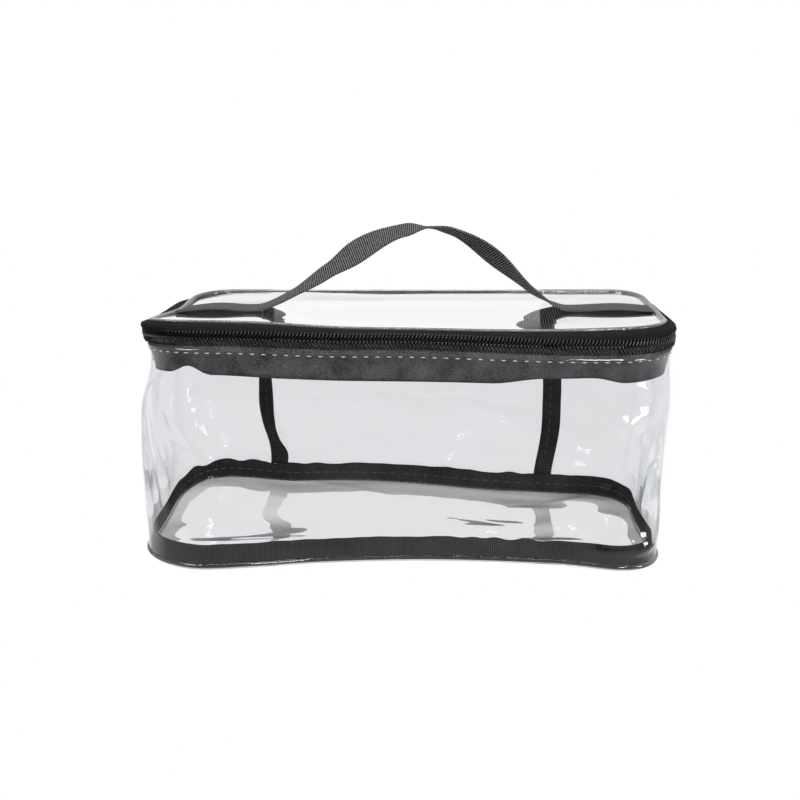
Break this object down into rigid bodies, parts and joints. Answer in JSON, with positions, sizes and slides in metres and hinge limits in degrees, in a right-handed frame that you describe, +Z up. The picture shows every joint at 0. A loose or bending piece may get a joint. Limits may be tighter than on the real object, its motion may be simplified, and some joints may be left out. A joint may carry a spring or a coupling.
{
  "type": "clear makeup bag",
  "caption": "Clear soft box bag with a zip-round lid on a living hinge, black bound seams and a webbing top handle.",
  "frame": {"origin": "on the surface the bag stands on, under the middle of the whole object, the zip pull included", "axes": "+X along the bag, +Y from its front to its hinge side, +Z up"},
  "size_m": [0.2228, 0.1006, 0.1386],
  "materials": {
    "clear_pvc": "clear glossy soft PVC sheet",
    "black_grosgrain": "ribbed black binding tape",
    "black_zip_tape": "woven black zip tape",
    "black_nylon_coil": "black nylon coil, satin",
    "grey_thread": "light grey sewing thread",
    "black_webbing": "ribbed black nylon webbing",
    "black_enamel": "black gloss enamel on die-cast metal"
  },
  "bodies": {
    "bag": {"base_panel": "clear_pvc", "base_piping": "clear_pvc", "wall_panel": "clear_pvc", "back_panel": "clear_pvc", "base_binding": "black_grosgrain", "back_binding_left": "black_grosgrain", "back_binding_right": "black_grosgrain", "zip_tape_lower": "black_zip_tape", "zip_tape_end_left": "black_zip_tape", "zip_tape_end_right": "black_zip_tape", "zip_coil_lower": "black_nylon_coil", "zip_coil_end_left": "black_nylon_coil", "zip_coil_end_right": "black_nylon_coil", "base_stitching": "grey_thread", "rim_stitching": "grey_thread", "back_stitching_left": "grey_thread", "back_stitching_right": "grey_thread"},
    "lid": {"lid_panel": "clear_pvc", "lid_piping": "clear_pvc", "lid_binding": "black_grosgrain", "lid_stitching": "grey_thread", "hinge_panel": "clear_pvc", "zip_tape_upper": "black_zip_tape", "zip_coil_upper": "black_nylon_coil", "handle_tail_left": "black_webbing", "handle_tail_right": "black_webbing"},
    "handle": {"handle_strap": "black_webbing"},
    "slider": {"zip_slider": "black_enamel"},
    "pull": {"zip_pull": "black_enamel"}
  },
  "joints": [
    {"name": "lid_hinge", "type": "hinge", "parent": "bag", "child": "lid", "pos_m": [0, 0.04562, 0.09305], "axis": [-1, 0, 0], "range_deg": [0, 110]},
    {"name": "handle_swing", "type": "hinge", "parent": "lid", "child": "handle", "pos_m": [0, 0.00036, 0.11138], "axis": [1, 0, 0], "range_deg": [-70, 70]},
    {"name": "slider_slide", "type": "slide", "parent": "bag", "child": "slider", "axis": [1, 0, 0], "range_m": [0, 0.008]},
    {"name": "pull_flip", "type": "hinge", "parent": "slider", "child": "pull", "pos_m": [0.07015, 0.04836, 0.08732], "axis": [0, 0.1097, 0.994], "range_deg": [0, 175]}
  ]
}
